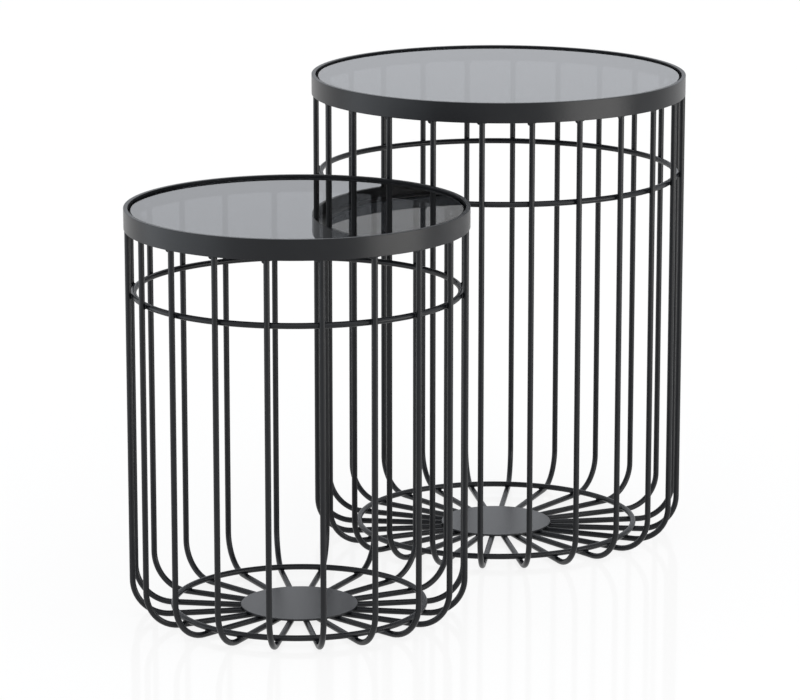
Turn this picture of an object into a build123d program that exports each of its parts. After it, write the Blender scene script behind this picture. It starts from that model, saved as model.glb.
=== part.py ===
from build123d import *
import math
import os

os.makedirs("parts", exist_ok=True)

# Sizes in millimetres, angles in degrees. Two round wire cage tables stand side by side,
# the small one in front of the large one. +Z is up, and the floor is at z = 0.
large_diameter = 430.0  # outside of the large table's rim
large_height = 541.5  # floor to the top of its rim
large_wire_count = 24
large_turn = -6.2  # first wire, from the front towards the right
large_ring_drop = 92.5  # lower edge of the rim to the middle of the upper ring
large_ring_inset = 9.5  # how far inside the start of the bends the lower ring lies
large_glass_thickness = 5.0

small_diameter = 372.0
small_height = 451.5
small_wire_count = 20
small_turn = 9.5
small_ring_drop = 70.5
small_ring_inset = 4.5
small_glass_thickness = 4.0

stand_gap = 6.2  # clear gap between the two rims
stand_angle = 33.3  # small table's place seen from the large one, from the front to the left

wire_diameter = 6.5
bend_radius = 41.0  # middle line of the bend at the foot of each wire
spoke_end_gap = 4.0  # clear gap between the inner ends of neighbouring spokes
ring_diameter = 6.5  # wire of the upper and lower rings
disc_diameter = 128.0
disc_thickness = 2.0
disc_edge = 0.5

rim_wall = 4.5
rim_skirt = 12.5  # rim below the ledge
rim_edge = 0.4
ledge_width = 14.0
ledge_thickness = 2.0
bumper_diameter = 8.0
bumper_thickness = 1.0
bumper_count = 6
glass_seat = 7.0  # top of the rim to the underside of the glass
glass_edge = 0.8
glass_clearance = 2.5  # glass edge to the rim, all round
weld_gap = 0.05  # between round pieces that are welded where they touch

# The rim is as tall as the seat for the glass, what carries it, and its skirt.
rim_height = glass_seat + bumper_thickness + ledge_thickness + rim_skirt
wire_radius = wire_diameter / 2
ring_radius = ring_diameter / 2
large_radius = large_diameter / 2
small_radius = small_diameter / 2

# The two axes, placed so that the middle of the pair's footprint is the origin.
stand_distance = large_radius + small_radius + stand_gap
small_dx = -stand_distance * math.sin(math.radians(stand_angle))
small_dy = -stand_distance * math.cos(math.radians(stand_angle))
middle_x = (max(large_radius, small_dx + small_radius) + min(-large_radius, small_dx - small_radius)) / 2
middle_y = (max(large_radius, small_dy + small_radius) + min(-large_radius, small_dy - small_radius)) / 2
large_centre = (-middle_x, -middle_y)
small_centre = (small_dx - middle_x, small_dy - middle_y)


def build_top(table, centre, diameter, height, glass_thickness):
    x, y = centre
    axis = Axis((x, y, 0), (0, 0, 1))
    rim_inner = diameter / 2 - rim_wall
    glass_bottom = height - glass_seat
    ledge_top = glass_bottom - bumper_thickness
    ledge_bottom = ledge_top - ledge_thickness

    # Flat bar hoop, standing on edge.
    with BuildPart() as rim:
        section = Plane((x + rim_inner + rim_wall / 2, y, height - rim_height / 2), (1, 0, 0), (0, -1, 0))
        with BuildSketch(section):
            RectangleRounded(rim_wall, rim_height, rim_edge)
        revolve(axis=axis)
    rim.part.label = table + "_rim"
    export_step(rim.part, "parts/" + table + "_rim.step")

    # Flat ring welded inside the hoop.
    with BuildPart() as ledge:
        with BuildSketch(Plane((x, y, ledge_bottom))):
            Circle(rim_inner - weld_gap)
            Circle(rim_inner - ledge_width, mode=Mode.SUBTRACT)
        extrude(amount=ledge_thickness)
    ledge.part.label = table + "_glass_ledge"
    export_step(ledge.part, "parts/" + table + "_glass_ledge.step")

    # Soft dots on the ledge, under the glass.
    with BuildPart() as bumpers:
        with BuildSketch(Plane((x, y, ledge_top))):
            with PolarLocations(rim_inner - ledge_width / 2, bumper_count):
                Circle(bumper_diameter / 2)
        extrude(amount=bumper_thickness)
    bumpers.part.label = table + "_glass_bumpers"
    export_step(bumpers.part, "parts/" + table + "_glass_bumpers.step")

    # Loose glass disc with its ground edge.
    with BuildPart() as glass:
        with BuildSketch(Plane((x, y, glass_bottom))):
            Circle(rim_inner - glass_clearance)
        extrude(amount=glass_thickness)
        chamfer(glass.edges().filter_by(GeomType.CIRCLE), glass_edge)
    glass.part.label = table + "_glass_top"
    export_step(glass.part, "parts/" + table + "_glass_top.step")


def build_rings(table, centre, diameter, height, ring_drop, ring_inset):
    x, y = centre
    axis = Axis((x, y, 0), (0, 0, 1))
    wire_circle = diameter / 2 - wire_radius

    # Upper ring, against the inner side of the uprights.
    upper_middle = wire_circle - wire_radius - weld_gap - ring_radius
    upper_height = height - rim_height - ring_drop
    with BuildPart() as upper_ring:
        with BuildSketch(Plane((x + upper_middle, y, upper_height), (1, 0, 0), (0, -1, 0))):
            Circle(ring_radius)
        revolve(axis=axis)
    upper_ring.part.label = table + "_upper_ring"
    export_step(upper_ring.part, "parts/" + table + "_upper_ring.step")

    # Lower ring, on top of the spokes just inside the start of the bends.
    lower_middle = wire_circle - bend_radius - ring_inset
    lower_height = wire_diameter + weld_gap + ring_radius
    with BuildPart() as lower_ring:
        with BuildSketch(Plane((x + lower_middle, y, lower_height), (1, 0, 0), (0, -1, 0))):
            Circle(ring_radius)
        revolve(axis=axis)
    lower_ring.part.label = table + "_lower_ring"
    export_step(lower_ring.part, "parts/" + table + "_lower_ring.step")

    # Round plate on top of the inner ends of the spokes.
    with BuildPart() as disc:
        with BuildSketch(Plane((x, y, wire_diameter + weld_gap))):
            Circle(disc_diameter / 2)
        extrude(amount=disc_thickness)
        fillet(disc.edges().group_by(Axis.Z)[-1], disc_edge)
    disc.part.label = table + "_centre_disc"
    export_step(disc.part, "parts/" + table + "_centre_disc.step")


def build_wires(table, centre, diameter, height, count, turn):
    x, y = centre
    wire_circle = diameter / 2 - wire_radius
    bend_start = wire_circle - bend_radius
    spoke_end = (wire_diameter + spoke_end_gap) / (2 * math.sin(math.pi / count))

    # One wire each: a spoke along the floor, a bend, and an upright that ends under the rim.
    for number in range(count):
        angle = math.radians(turn - 90 + number * 360 / count)
        outwards = (math.cos(angle), math.sin(angle), 0)
        sideways = (math.sin(angle), -math.cos(angle), 0)
        upright_plane = Plane((x, y, 0), outwards, sideways)
        with BuildPart() as wire:
            with BuildLine(upright_plane) as path:
                spoke = Line((spoke_end, wire_radius), (bend_start, wire_radius))
                bend = JernArc(spoke @ 1, spoke % 1, bend_radius, 90)
                Line(bend @ 1, (wire_circle, height - rim_height))
            with BuildSketch(Plane(path.line @ 0, sideways, path.line % 0)):
                Circle(wire_radius)
            sweep()
        name = f"{table}_wire_{number + 1:02d}"
        wire.part.label = name
        export_step(wire.part, "parts/" + name + ".step")


build_top("large", large_centre, large_diameter, large_height, large_glass_thickness)
build_rings("large", large_centre, large_diameter, large_height, large_ring_drop, large_ring_inset)
build_wires("large", large_centre, large_diameter, large_height, large_wire_count, large_turn)

build_top("small", small_centre, small_diameter, small_height, small_glass_thickness)
build_rings("small", small_centre, small_diameter, small_height, small_ring_drop, small_ring_inset)
build_wires("small", small_centre, small_diameter, small_height, small_wire_count, small_turn)

print("large axis", large_centre, "small axis", small_centre)
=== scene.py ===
import bpy
import bmesh
import math
import mathutils
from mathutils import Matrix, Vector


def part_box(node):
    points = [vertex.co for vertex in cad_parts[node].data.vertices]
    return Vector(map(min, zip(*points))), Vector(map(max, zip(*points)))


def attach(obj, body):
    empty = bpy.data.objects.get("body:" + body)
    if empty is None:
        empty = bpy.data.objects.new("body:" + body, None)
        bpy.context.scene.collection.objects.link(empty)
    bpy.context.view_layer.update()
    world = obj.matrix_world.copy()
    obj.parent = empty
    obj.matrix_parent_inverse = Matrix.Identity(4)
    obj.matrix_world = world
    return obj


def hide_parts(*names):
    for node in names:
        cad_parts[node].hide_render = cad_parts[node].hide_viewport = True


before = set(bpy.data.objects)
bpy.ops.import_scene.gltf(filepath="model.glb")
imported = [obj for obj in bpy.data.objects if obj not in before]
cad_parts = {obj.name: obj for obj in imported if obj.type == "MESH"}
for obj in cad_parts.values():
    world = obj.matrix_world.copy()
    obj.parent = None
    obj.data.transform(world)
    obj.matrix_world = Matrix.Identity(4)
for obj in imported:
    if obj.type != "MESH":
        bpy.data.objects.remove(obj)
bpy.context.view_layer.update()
scene = bpy.context.scene
scene.view_settings.view_transform = "Standard"
print("frame loaded:", len(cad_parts), "nodes")


# small helpers for node trees
def addNode(tree, kind, values=None, **options):
    node = tree.nodes.new(kind)
    for name, value in options.items():
        setattr(node, name, value)
    for name, value in (values or {}).items():
        node.inputs[name].default_value = value
    return node


def joinNodes(tree, pairs):
    for source, target in pairs:
        tree.links.new(source, target)


def newFinish(name):
    finish = bpy.data.materials.new(name)
    finish.use_nodes = True
    return finish, finish.node_tree, finish.node_tree.nodes["Principled BSDF"]


def followGrain(tree, shader, grain, span, roughness):
    # roughness that follows a noise
    gloss = addNode(tree, "ShaderNodeMapRange", {
        "From Min": span[0], "From Max": span[1], "To Min": roughness[0], "To Max": roughness[1]})
    joinNodes(tree, [
        (grain.outputs["Fac"], gloss.inputs["Value"]),
        (gloss.outputs["Result"], shader.inputs["Roughness"]),
    ])


# anthracite powder coat on all the steel
coatSettings = {
    "colour": (0.0028, 0.0034, 0.0047),
    "paleColour": (0.0046, 0.0054, 0.0070),
    "roughness": (0.28, 0.40),
    "specular": 0.30,
    "sheetSpecular": 0.50,  # flat sheet takes the powder more smoothly than the wires do
    "grainScale": 2600.0,  # fine grain of the powder, per metre
    "grainSpan": (0.25, 0.75),
    "grainDepth": 0.00004,
    "grainStrength": 0.35,
    "cloudScale": 38.0,  # slow change of tone along the wires
    "cloudSpan": (0.3, 0.75),
}


def coatedSteelFinish(name, settings, specular):
    finish, tree, shader = newFinish(name)
    shader.inputs["Specular IOR Level"].default_value = specular
    place = addNode(tree, "ShaderNodeTexCoord")
    cloud = addNode(tree, "ShaderNodeTexNoise", {"Scale": settings["cloudScale"], "Detail": 4.0})
    grain = addNode(tree, "ShaderNodeTexNoise", {"Scale": settings["grainScale"], "Detail": 2.0})
    tone = addNode(tree, "ShaderNodeValToRGB")
    dark, pale = tone.color_ramp.elements
    dark.position, pale.position = settings["cloudSpan"]
    dark.color = (*settings["colour"], 1.0)
    pale.color = (*settings["paleColour"], 1.0)
    peel = addNode(tree, "ShaderNodeBump", {
        "Strength": settings["grainStrength"], "Distance": settings["grainDepth"]})
    joinNodes(tree, [
        (place.outputs["Object"], cloud.inputs["Vector"]),
        (place.outputs["Object"], grain.inputs["Vector"]),
        (cloud.outputs["Fac"], tone.inputs["Fac"]),
        (tone.outputs["Color"], shader.inputs["Base Color"]),
        (grain.outputs["Fac"], peel.inputs["Height"]),
        (peel.outputs["Normal"], shader.inputs["Normal"]),
    ])
    followGrain(tree, shader, grain, settings["grainSpan"], settings["roughness"])
    return finish


# dark smoked glass with faint wipe marks
glassSettings = {
    "colour": (0.075, 0.079, 0.085, 1.0),
    "index": 1.52,
    "roughness": (0.004, 0.022),
    "wipeScale": 9.0,
    "wipeSpan": (0.45, 0.8),
    "wipeTurn": 0.5,
    "wipeStretch": 3.2,
}


def smokedGlassFinish(settings):
    finish, tree, shader = newFinish("smokedGlass")
    shader.inputs["Base Color"].default_value = settings["colour"]
    shader.inputs["Transmission Weight"].default_value = 1.0
    shader.inputs["IOR"].default_value = settings["index"]
    place = addNode(tree, "ShaderNodeTexCoord")
    stretch = addNode(tree, "ShaderNodeMapping", {
        "Scale": (1.0, settings["wipeStretch"], 1.0), "Rotation": (0.0, 0.0, settings["wipeTurn"])})
    wipe = addNode(tree, "ShaderNodeTexNoise", {
        "Scale": settings["wipeScale"], "Detail": 5.0, "Roughness": 0.6})
    joinNodes(tree, [
        (place.outputs["Object"], stretch.inputs["Vector"]),
        (stretch.outputs["Vector"], wipe.inputs["Vector"]),
    ])
    followGrain(tree, shader, wipe, settings["wipeSpan"], settings["roughness"])
    return finish


# clear silicone of the bumpers
siliconeSettings = {
    "colour": (0.62, 0.63, 0.64, 1.0),
    "index": 1.41,
    "clearness": 0.6,
    "roughness": (0.18, 0.34),
    "grainScale": 900.0,
    "grainSpan": (0.3, 0.7),
}


def clearSiliconeFinish(settings):
    finish, tree, shader = newFinish("clearSilicone")
    shader.inputs["Base Color"].default_value = settings["colour"]
    shader.inputs["Transmission Weight"].default_value = settings["clearness"]
    shader.inputs["IOR"].default_value = settings["index"]
    place = addNode(tree, "ShaderNodeTexCoord")
    grain = addNode(tree, "ShaderNodeTexNoise", {"Scale": settings["grainScale"]})
    joinNodes(tree, [(place.outputs["Object"], grain.inputs["Vector"])])
    followGrain(tree, shader, grain, settings["grainSpan"], settings["roughness"])
    return finish


coatedSteel = coatedSteelFinish("coatedSteel", coatSettings, coatSettings["specular"])
coatedSheet = coatedSteelFinish("coatedSheet", coatSettings, coatSettings["sheetSpecular"])
smokedGlass = smokedGlassFinish(glassSettings)
clearSilicone = clearSiliconeFinish(siliconeSettings)
print("finishes made")

# the two tables, first wire counted from the front towards the right
largeTable = {"name": "large", "wireCount": 24, "firstWire": math.radians(-6.2), "seed": 3}
smallTable = {"name": "small", "wireCount": 20, "firstWire": math.radians(9.5), "seed": 11}


# points nearer than this are one point, and edges sharper than this stay sharp
meshSettings = {"mergeDistance": 1e-7, "sharpAngle": math.radians(40)}


def measureTable(table):
    # places and sizes of one table's round pieces, read from the frame
    low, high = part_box(table["name"] + "_rim")
    table["centre"] = ((low.x + high.x) / 2, (low.y + high.y) / 2)
    for node in ("rim", "glass_ledge", "glass_bumpers", "glass_top",
                 "upper_ring", "lower_ring", "centre_disc"):
        low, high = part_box(table["name"] + "_" + node)
        table[node] = {"outer": (high.x - low.x) / 2, "low": low.z, "high": high.z}


def turnedPiece(name, axes, profile, steps):
    # closed profile of (radius, height) points turned about one or more upright axes
    work = bmesh.new()
    for x, y in axes:
        loops = []
        for step in range(steps):
            angle = 2 * math.pi * step / steps
            across, along = math.cos(angle), math.sin(angle)
            loops.append([work.verts.new((x + r * across, y + r * along, z)) for r, z in profile])
        for step in range(steps):
            here, there = loops[step], loops[(step + 1) % steps]
            for corner in range(len(profile)):
                after = (corner + 1) % len(profile)
                work.faces.new((here[corner], there[corner], there[after], here[after]))
    bmesh.ops.remove_doubles(work, verts=work.verts, dist=meshSettings["mergeDistance"])
    bmesh.ops.dissolve_degenerate(work, edges=work.edges, dist=meshSettings["mergeDistance"])
    bmesh.ops.recalc_face_normals(work, faces=work.faces)
    mesh = bpy.data.meshes.new(name)
    work.to_mesh(mesh)
    work.free()
    mesh.polygons.foreach_set("use_smooth", [True] * len(mesh.polygons))
    mesh.set_sharp_from_angle(angle=meshSettings["sharpAngle"])
    piece = bpy.data.objects.new(name, mesh)
    scene.collection.objects.link(piece)
    return piece


def roundCorner(r, z, edge, start, steps=4):
    # quarter round of a profile, from start degrees on
    angles = [math.radians(start + 90 * step / steps) for step in range(steps + 1)]
    return [(r + edge * math.cos(angle), z + edge * math.sin(angle)) for angle in angles]


def roundedBar(inner, outer, low, high, edge):
    # rectangle with rounded corners, as a turning profile
    # a row of points beside each corner keeps the sides flat
    outer, inner, low, high = outer - edge, inner + edge, low + edge, high - edge
    corners = ((outer, low, -90), (outer, high, 0), (inner, high, 90), (inner, low, 180))
    profile = []
    for r, z, start in corners:
        arc = roundCorner(r, z, edge, start)
        across = edge / 2 * math.cos(math.radians(start))
        along = edge / 2 * math.sin(math.radians(start))
        before = (arc[0][0] + along, arc[0][1] - across)
        after = (arc[-1][0] - across, arc[-1][1] - along)
        profile += [before, *arc, after]
    return profile


def placePiece(piece, body, slotName, finish, *nodes):
    piece.data.materials.clear()
    piece.data.materials.append(finish)
    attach(piece, body)
    if nodes:
        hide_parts(*nodes)


topSettings = {
    "rimWall": 0.0045, "rimEdge": 0.0004,
    "ledgeWidth": 0.014, "ledgeEdge": 0.0003,
    "glassEdge": 0.0008,
    "bumperCount": 6, "bumperRadius": 0.004, "bumperEdge": 0.0009,
    "turns": 288, "bumperTurns": 32,
}


def makeRim(table):
    rim = table["rim"]
    profile = roundedBar(rim["outer"] - topSettings["rimWall"], rim["outer"], rim["low"], rim["high"],
                         topSettings["rimEdge"])
    piece = turnedPiece(table["name"] + "Rim", [table["centre"]], profile, topSettings["turns"])
    placePiece(piece, table["name"] + "_table", "coated_steel", coatedSteel, table["name"] + "_rim")


def makeLedge(table):
    ledge = table["glass_ledge"]
    inner = table["rim"]["outer"] - topSettings["rimWall"] - topSettings["ledgeWidth"]
    profile = roundedBar(inner, ledge["outer"], ledge["low"], ledge["high"], topSettings["ledgeEdge"])
    piece = turnedPiece(table["name"] + "GlassLedge", [table["centre"]], profile, topSettings["turns"])
    placePiece(piece, table["name"] + "_table", "coated_steel", coatedSteel, table["name"] + "_glass_ledge")


def makeBumpers(table):
    # domed dots on the ledge, pressed flat on top by the glass
    bumper = table["glass_bumpers"]
    circle = table["rim"]["outer"] - topSettings["rimWall"] - topSettings["ledgeWidth"] / 2
    x, y = table["centre"]
    turns = [2 * math.pi * spot / topSettings["bumperCount"] for spot in range(topSettings["bumperCount"])]
    axes = [(x + circle * math.cos(turn), y + circle * math.sin(turn)) for turn in turns]
    radius, edge = topSettings["bumperRadius"], topSettings["bumperEdge"]
    profile = [(0.0, bumper["low"]), (radius, bumper["low"])]
    profile += roundCorner(radius - edge, bumper["high"] - edge, edge, 0)
    profile += [(0.0, bumper["high"])]
    piece = turnedPiece(table["name"] + "GlassBumpers", axes, profile, topSettings["bumperTurns"])
    placePiece(piece, table["name"] + "_table", "clear_bumper", clearSilicone,
               table["name"] + "_glass_bumpers")


def makeGlass(table):
    glass = table["glass_top"]
    outer, low, high, edge = glass["outer"], glass["low"], glass["high"], topSettings["glassEdge"]
    profile = [(0.0, low), (outer / 2, low), (outer - edge, low), (outer, low + edge),
               (outer, high - edge), (outer - edge, high), (outer / 2, high), (0.0, high)]
    piece = turnedPiece(table["name"] + "GlassTop", [table["centre"]], profile, topSettings["turns"])
    placePiece(piece, table["name"] + "_glass", "smoked_glass", smokedGlass, table["name"] + "_glass_top")


cageSettings = {
    "wireRadius": 0.00325, "bendRadius": 0.041, "spokeEndGap": 0.004,
    "discEdge": 0.0005,
    "wireSides": 24, "bendSteps": 18, "ringSteps": 224, "discTurns": 160,
    "beadSides": 12, "beadRings": 8,
}


def newTree(name, inputs):
    tree = bpy.data.node_groups.new(name, "GeometryNodeTree")
    tree.interface.new_socket(name="Geometry", in_out="OUTPUT", socket_type="NodeSocketGeometry")
    for label, kind in inputs.items():
        tree.interface.new_socket(name=label, in_out="INPUT", socket_type="NodeSocket" + kind)
    return tree, addNode(tree, "NodeGroupInput").outputs, addNode(tree, "NodeGroupOutput").inputs[0]


def spreadRound(tree, given):
    # one point for each wire, and the angle that it stands at
    spots = addNode(tree, "GeometryNodePoints")
    index = addNode(tree, "GeometryNodeInputIndex")
    share = addNode(tree, "ShaderNodeMath", operation="DIVIDE")
    angle = addNode(tree, "ShaderNodeMath", operation="MULTIPLY_ADD")
    angle.inputs[1].default_value = 2 * math.pi
    joinNodes(tree, [
        (given["Wires"], spots.inputs["Count"]),
        (index.outputs[0], share.inputs[0]), (given["Wires"], share.inputs[1]),
        (share.outputs[0], angle.inputs[0]), (given["First Wire"], angle.inputs[2]),
    ])
    return spots.outputs[0], angle.outputs[0]


def finishTree(tree, shape, out, finish):
    real = addNode(tree, "GeometryNodeRealizeInstances")
    paint = addNode(tree, "GeometryNodeSetMaterial", {"Material": finish})
    joinNodes(tree, [
        (shape, real.inputs["Geometry"]),
        (real.outputs[0], paint.inputs["Geometry"]),
        (paint.outputs[0], out),
    ])


# wires of one cage: spoke, bend and upright, repeated round the axis
def makeWireTree(finish):
    tree, given, out = newTree("cageWires", {
        "Wires": "Int", "First Wire": "Float", "Circle Radius": "Float", "Wire Radius": "Float",
        "Bend Radius": "Float", "Spoke End": "Float", "Top": "Float", "Centre": "Vector"})
    line = addNode(tree, "GeometryNodeMeshLine", {"Count": 3})
    index = addNode(tree, "GeometryNodeInputIndex")
    isFirst = addNode(tree, "FunctionNodeCompare", data_type="INT", operation="EQUAL")
    isLast = addNode(tree, "FunctionNodeCompare", data_type="INT", operation="EQUAL")
    isFirst.inputs[3].default_value = 0
    isLast.inputs[3].default_value = 2
    reach = addNode(tree, "GeometryNodeSwitch", input_type="FLOAT")
    rise = addNode(tree, "GeometryNodeSwitch", input_type="FLOAT")
    corner = addNode(tree, "ShaderNodeCombineXYZ")
    shape = addNode(tree, "GeometryNodeSetPosition")
    path = addNode(tree, "GeometryNodeMeshToCurve")
    bend = addNode(tree, "GeometryNodeFilletCurve", {"Count": cageSettings["bendSteps"]}, mode="POLY")
    section = addNode(tree, "GeometryNodeCurvePrimitiveCircle", {"Resolution": cageSettings["wireSides"]})
    tube = addNode(tree, "GeometryNodeCurveToMesh", {"Fill Caps": True})
    smooth = addNode(tree, "GeometryNodeSetShadeSmooth")
    spots, angle = spreadRound(tree, given)
    spin = addNode(tree, "ShaderNodeCombineXYZ")
    copies = addNode(tree, "GeometryNodeInstanceOnPoints")
    place = addNode(tree, "GeometryNodeTransform")
    joinNodes(tree, [
        (index.outputs[0], isFirst.inputs[2]), (index.outputs[0], isLast.inputs[2]),
        (isFirst.outputs[0], reach.inputs["Switch"]), (isLast.outputs[0], rise.inputs["Switch"]),
        (given["Circle Radius"], reach.inputs["False"]), (given["Spoke End"], reach.inputs["True"]),
        (given["Wire Radius"], rise.inputs["False"]), (given["Top"], rise.inputs["True"]),
        (reach.outputs[0], corner.inputs["X"]), (rise.outputs[0], corner.inputs["Z"]),
        (line.outputs["Mesh"], shape.inputs["Geometry"]), (corner.outputs[0], shape.inputs["Position"]),
        (shape.outputs[0], path.inputs["Mesh"]), (path.outputs["Curve"], bend.inputs["Curve"]),
        (given["Bend Radius"], bend.inputs["Radius"]), (given["Wire Radius"], section.inputs["Radius"]),
        (bend.outputs[0], tube.inputs["Curve"]), (section.outputs["Curve"], tube.inputs["Profile Curve"]),
        (tube.outputs["Mesh"], smooth.inputs["Geometry"]), (smooth.outputs[0], copies.inputs["Instance"]),
        (spots, copies.inputs["Points"]),
        (angle, spin.inputs["Z"]), (spin.outputs[0], copies.inputs["Rotation"]),
        (copies.outputs[0], place.inputs["Geometry"]), (given["Centre"], place.inputs["Translation"]),
    ])
    finishTree(tree, place.outputs[0], out, finish)
    return tree


# one wire ring
def makeRingTree(finish):
    tree, given, out = newTree("wireRing", {
        "Ring Radius": "Float", "Wire Radius": "Float", "Centre": "Vector"})
    path = addNode(tree, "GeometryNodeCurvePrimitiveCircle", {"Resolution": cageSettings["ringSteps"]})
    section = addNode(tree, "GeometryNodeCurvePrimitiveCircle", {"Resolution": cageSettings["wireSides"]})
    tube = addNode(tree, "GeometryNodeCurveToMesh")
    smooth = addNode(tree, "GeometryNodeSetShadeSmooth")
    place = addNode(tree, "GeometryNodeTransform")
    joinNodes(tree, [
        (given["Ring Radius"], path.inputs["Radius"]), (given["Wire Radius"], section.inputs["Radius"]),
        (path.outputs["Curve"], tube.inputs["Curve"]),
        (section.outputs["Curve"], tube.inputs["Profile Curve"]),
        (tube.outputs["Mesh"], smooth.inputs["Geometry"]), (smooth.outputs[0], place.inputs["Geometry"]),
        (given["Centre"], place.inputs["Translation"]),
    ])
    finishTree(tree, place.outputs[0], out, finish)
    return tree


# weld beads: one small lump for each wire, no two of one size
def makeWeldTree(finish):
    tree, given, out = newTree("weldBeads", {
        "Wires": "Int", "First Wire": "Float", "Spot": "Vector", "Size": "Vector", "Spread": "Float",
        "Centre": "Vector", "Seed": "Int"})
    bead = addNode(tree, "GeometryNodeMeshUVSphere", {
        "Segments": cageSettings["beadSides"], "Rings": cageSettings["beadRings"], "Radius": 1.0})
    smooth = addNode(tree, "GeometryNodeSetShadeSmooth")
    spots, angle = spreadRound(tree, given)
    turned = addNode(tree, "ShaderNodeVectorRotate", {"Axis": (0.0, 0.0, 1.0)}, rotation_type="AXIS_ANGLE")
    moved = addNode(tree, "ShaderNodeVectorMath", operation="ADD")
    stand = addNode(tree, "GeometryNodeSetPosition")
    least = addNode(tree, "ShaderNodeMath", operation="SUBTRACT")
    most = addNode(tree, "ShaderNodeMath", operation="ADD")
    least.inputs[0].default_value = 1.0
    most.inputs[0].default_value = 1.0
    vary = addNode(tree, "FunctionNodeRandomValue", data_type="FLOAT_VECTOR")
    grow = addNode(tree, "ShaderNodeVectorMath", operation="MULTIPLY")
    spin = addNode(tree, "ShaderNodeCombineXYZ")
    copies = addNode(tree, "GeometryNodeInstanceOnPoints")
    joinNodes(tree, [
        (given["Spot"], turned.inputs["Vector"]), (angle, turned.inputs["Angle"]),
        (turned.outputs[0], moved.inputs[0]), (given["Centre"], moved.inputs[1]),
        (spots, stand.inputs["Geometry"]), (moved.outputs[0], stand.inputs["Position"]),
        (given["Spread"], least.inputs[1]), (given["Spread"], most.inputs[1]),
        (least.outputs[0], vary.inputs["Min"]), (most.outputs[0], vary.inputs["Max"]),
        (given["Seed"], vary.inputs["Seed"]),
        (given["Size"], grow.inputs[0]), (vary.outputs[0], grow.inputs[1]),
        (bead.outputs["Mesh"], smooth.inputs["Geometry"]), (smooth.outputs[0], copies.inputs["Instance"]),
        (stand.outputs[0], copies.inputs["Points"]), (angle, spin.inputs["Z"]),
        (spin.outputs[0], copies.inputs["Rotation"]), (grow.outputs[0], copies.inputs["Scale"]),
    ])
    finishTree(tree, copies.outputs[0], out, finish)
    return tree


def growMesh(name, tree, values):
    # runs a tree on an empty mesh and keeps the result as a plain mesh
    piece = bpy.data.objects.new(name, bpy.data.meshes.new(name))
    scene.collection.objects.link(piece)
    modifier = piece.modifiers.new("grow", "NODES")
    modifier.node_group = tree
    for item in tree.interface.items_tree:
        if item.in_out == "INPUT":
            modifier[item.identifier] = values[item.name]
    seen = piece.evaluated_get(bpy.context.evaluated_depsgraph_get())
    mesh = bpy.data.meshes.new_from_object(seen)
    piece.modifiers.remove(modifier)
    piece.data = mesh
    work = bmesh.new()
    work.from_mesh(mesh)
    bmesh.ops.remove_doubles(work, verts=work.verts, dist=meshSettings["mergeDistance"])
    bmesh.ops.recalc_face_normals(work, faces=work.faces)
    work.to_mesh(mesh)
    work.free()
    return piece


wireTree = makeWireTree(coatedSteel)
ringTree = makeRingTree(coatedSteel)
weldTree = makeWeldTree(coatedSteel)


def makeWires(table):
    name, count, wire = table["name"], table["wireCount"], cageSettings["wireRadius"]
    spokeEnd = (wire + cageSettings["spokeEndGap"] / 2) / math.sin(math.pi / count)
    piece = growMesh(name + "CageWires", wireTree, {
        "Wires": count, "First Wire": table["firstWire"] - math.pi / 2,
        "Circle Radius": table["rim"]["outer"] - wire, "Wire Radius": wire,
        "Bend Radius": cageSettings["bendRadius"], "Spoke End": spokeEnd,
        "Top": table["rim"]["low"], "Centre": (*table["centre"], 0.0)})
    nodes = [f"{name}_wire_{number + 1:02d}" for number in range(count)]
    placePiece(piece, name + "_table", "coated_steel", coatedSteel, *nodes)


def makeRing(table, node, pieceName):
    ring = table[node]
    wire = (ring["high"] - ring["low"]) / 2
    piece = growMesh(table["name"] + pieceName, ringTree, {
        "Ring Radius": ring["outer"] - wire, "Wire Radius": wire,
        "Centre": (*table["centre"], ring["low"] + wire)})
    placePiece(piece, table["name"] + "_table", "coated_steel", coatedSteel, table["name"] + "_" + node)


def makeDisc(table):
    disc = table["centre_disc"]
    outer, low, high, edge = disc["outer"], disc["low"], disc["high"], cageSettings["discEdge"]
    profile = [(0.0, low), (outer, low)]
    profile += roundCorner(outer - edge, high - edge, edge, 0)
    profile += [(outer - 2 * edge, high), (0.0, high)]
    piece = turnedPiece(table["name"] + "CentreDisc", [table["centre"]], profile, cageSettings["discTurns"])
    placePiece(piece, table["name"] + "_table", "coated_steel", coatedSheet, table["name"] + "_centre_disc")


# bead half sizes: outwards, along the rim or ring, upwards
weldSettings = {
    "rimStart": {"size": (0.0015, 0.0029, 0.0027), "spread": 0.35},
    "rimEnd": {"size": (0.0012, 0.0019, 0.0009), "spread": 0.30},
    "upperRing": {"size": (0.0012, 0.0027, 0.0027), "spread": 0.15},
    "lowerRing": {"size": (0.0027, 0.0027, 0.0012), "spread": 0.15},
    "disc": {"size": (0.0016, 0.0024, 0.0009), "spread": 0.20},
}


def makeWelds(table):
    wire = cageSettings["wireRadius"]
    rim, upper, lower, disc = table["rim"], table["upper_ring"], table["lower_ring"], table["centre_disc"]
    middleOfRim = rim["outer"] - topSettings["rimWall"] / 2
    spots = {
        "rimStart": (middleOfRim, -wire, rim["low"]),
        "rimEnd": (middleOfRim, wire, rim["low"]),
        "upperRing": (upper["outer"], 0.0, (upper["low"] + upper["high"]) / 2),
        "lowerRing": (lower["outer"] - (lower["high"] - lower["low"]) / 2, 0.0, lower["low"]),
        "disc": (disc["outer"], 0.0, disc["low"]),
    }
    for number, (seam, spot) in enumerate(spots.items()):
        piece = growMesh(table["name"] + seam[0].upper() + seam[1:] + "Welds", weldTree, {
            "Wires": table["wireCount"], "First Wire": table["firstWire"] - math.pi / 2, "Spot": spot,
            "Size": weldSettings[seam]["size"], "Spread": weldSettings[seam]["spread"],
            "Centre": (*table["centre"], 0.0), "Seed": table["seed"] + number})
        placePiece(piece, table["name"] + "_table", "coated_steel", coatedSteel)


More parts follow.
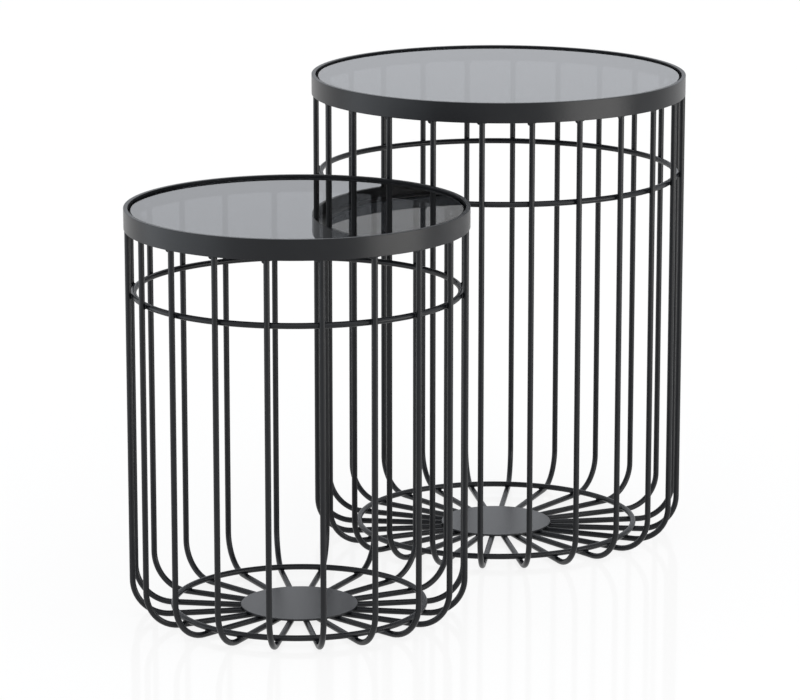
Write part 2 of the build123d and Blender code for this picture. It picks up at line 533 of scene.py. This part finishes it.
for table in (largeTable, smallTable):
    measureTable(table)
    makeRim(table)
    makeLedge(table)
    makeBumpers(table)
    makeGlass(table)
    makeWires(table)
    makeRing(table, "upper_ring", "UpperRing")
    makeRing(table, "lower_ring", "LowerRing")
    makeDisc(table)
    makeWelds(table)
    print(table["name"], "table made, axis at", [round(value, 4) for value in table["centre"]])

# pale floor: matt, faintly mirroring, mostly plain white where it is seen
floorSettings = {"size": 16.0, "colour": (0.97, 0.97, 0.97, 1.0), "mirror": 0.05,
                 "mirrorRoughness": 0.07, "plainWhite": 0.88}
half = floorSettings["size"] / 2
floorMesh = bpy.data.meshes.new("floor")
floorCorners = [(-half, -half, 0), (half, -half, 0), (half, half, 0), (-half, half, 0)]
floorMesh.from_pydata(floorCorners, [], [(0, 1, 2, 3)])
floor = bpy.data.objects.new("floor", floorMesh)
scene.collection.objects.link(floor)


def seenRays(tree):
    # 1 for rays that show the backdrop: straight, mirrored or through glass
    rays = addNode(tree, "ShaderNodeLightPath")
    mirrored = addNode(tree, "ShaderNodeMath", operation="MAXIMUM")
    seen = addNode(tree, "ShaderNodeMath", operation="MAXIMUM")
    joinNodes(tree, [
        (rays.outputs["Is Camera Ray"], mirrored.inputs[0]),
        (rays.outputs["Is Glossy Ray"], mirrored.inputs[1]),
        (mirrored.outputs[0], seen.inputs[0]), (rays.outputs["Is Transmission Ray"], seen.inputs[1]),
    ])
    return seen.outputs[0]


def paleFloorFinish(settings):
    finish, tree, shader = newFinish("paleFloor")
    tree.nodes.remove(shader)
    matt = addNode(tree, "ShaderNodeBsdfDiffuse", {"Color": settings["colour"]})
    mirror = addNode(tree, "ShaderNodeBsdfGlossy", {"Roughness": settings["mirrorRoughness"]})
    white = addNode(tree, "ShaderNodeEmission", {"Strength": 1.0})
    share = addNode(tree, "ShaderNodeMath", operation="MULTIPLY")
    share.inputs[1].default_value = settings["plainWhite"]
    lifted = addNode(tree, "ShaderNodeMixShader")
    mixed = addNode(tree, "ShaderNodeMixShader", {"Fac": settings["mirror"]})
    joinNodes(tree, [
        (seenRays(tree), share.inputs[0]), (share.outputs[0], lifted.inputs["Fac"]),
        (matt.outputs[0], lifted.inputs[1]), (white.outputs[0], lifted.inputs[2]),
        (lifted.outputs[0], mixed.inputs[1]), (mirror.outputs[0], mixed.inputs[2]),
        (mixed.outputs[0], tree.nodes["Material Output"].inputs["Surface"]),
    ])
    return finish


floorMesh.materials.append(paleFloorFinish(floorSettings))

# white room that looks a little cool in reflections
roomSettings = {"strength": 1.0, "white": (1.0, 1.0, 1.0, 1.0), "coolWhite": (0.89, 0.915, 0.96, 1.0)}
world = bpy.data.worlds.new("studio")
world.use_nodes = True
scene.world = world
room = world.node_tree
rays = addNode(room, "ShaderNodeLightPath")
plain = room.nodes["Background"]
plain.inputs["Color"].default_value = roomSettings["white"]
plain.inputs["Strength"].default_value = roomSettings["strength"]
cool = addNode(room, "ShaderNodeBackground", {
    "Color": roomSettings["coolWhite"], "Strength": roomSettings["strength"]})
either = addNode(room, "ShaderNodeMixShader")
joinNodes(room, [
    (rays.outputs["Is Glossy Ray"], either.inputs["Fac"]),
    (plain.outputs[0], either.inputs[1]), (cool.outputs[0], either.inputs[2]),
    (either.outputs[0], room.nodes["World Output"].inputs["Surface"]),
])

# soft lamps: a broad one overhead, and two low panels, bright at the right, wide and cool at the left
sunSettings = {"power": 0.70, "spread": math.radians(70),
               "tilt": (math.radians(32), math.radians(14), 0.0)}
sunLamp = bpy.data.lights.new("softTop", "SUN")
sunLamp.energy = sunSettings["power"]
sunLamp.angle = sunSettings["spread"]
sun = bpy.data.objects.new("softTop", sunLamp)
sun.rotation_euler = sunSettings["tilt"]
scene.collection.objects.link(sun)

panelSettings = {
    "softRight": {"place": (1.60, -0.88, 0.26), "size": (1.4, 0.48), "power": 10.5,
                  "colour": (1.0, 0.98, 0.95)},
    "softLeft": {"place": (-1.75, -0.45, 0.26), "size": (2.2, 0.48), "power": 5.6,
                 "colour": (0.84, 0.92, 1.0)},
}
panelAim = mathutils.Vector((0.0, 0.0, 0.26))
for name, settings in panelSettings.items():
    panelLamp = bpy.data.lights.new(name, "AREA")
    panelLamp.shape = "RECTANGLE"
    panelLamp.size, panelLamp.size_y = settings["size"]
    panelLamp.energy = settings["power"]
    panelLamp.color = settings["colour"]
    panel = bpy.data.objects.new(name, panelLamp)
    panel.location = settings["place"]
    panel.rotation_euler = (panelAim - panel.location).to_track_quat("-Z", "Y").to_euler()
    scene.collection.objects.link(panel)

# long lens, a little above the tables
cameraSettings = {"place": (-0.0159, -4.3619, 1.2524), "pitch": math.radians(12.94),
                  "focalPixels": 3967.0, "imageWidth": 800, "sensor": 36.0, "farthest": 100.0}
lens = bpy.data.cameras.new("photoView")
lens.sensor_width = cameraSettings["sensor"]
lens.lens = cameraSettings["sensor"] * cameraSettings["focalPixels"] / cameraSettings["imageWidth"]
lens.clip_end = cameraSettings["farthest"]
camera = bpy.data.objects.new("photoView", lens)
camera.location = cameraSettings["place"]
camera.rotation_euler = (math.pi / 2 - cameraSettings["pitch"], 0.0, 0.0)
scene.collection.objects.link(camera)
scene.camera = camera
print("stage, light and camera set")
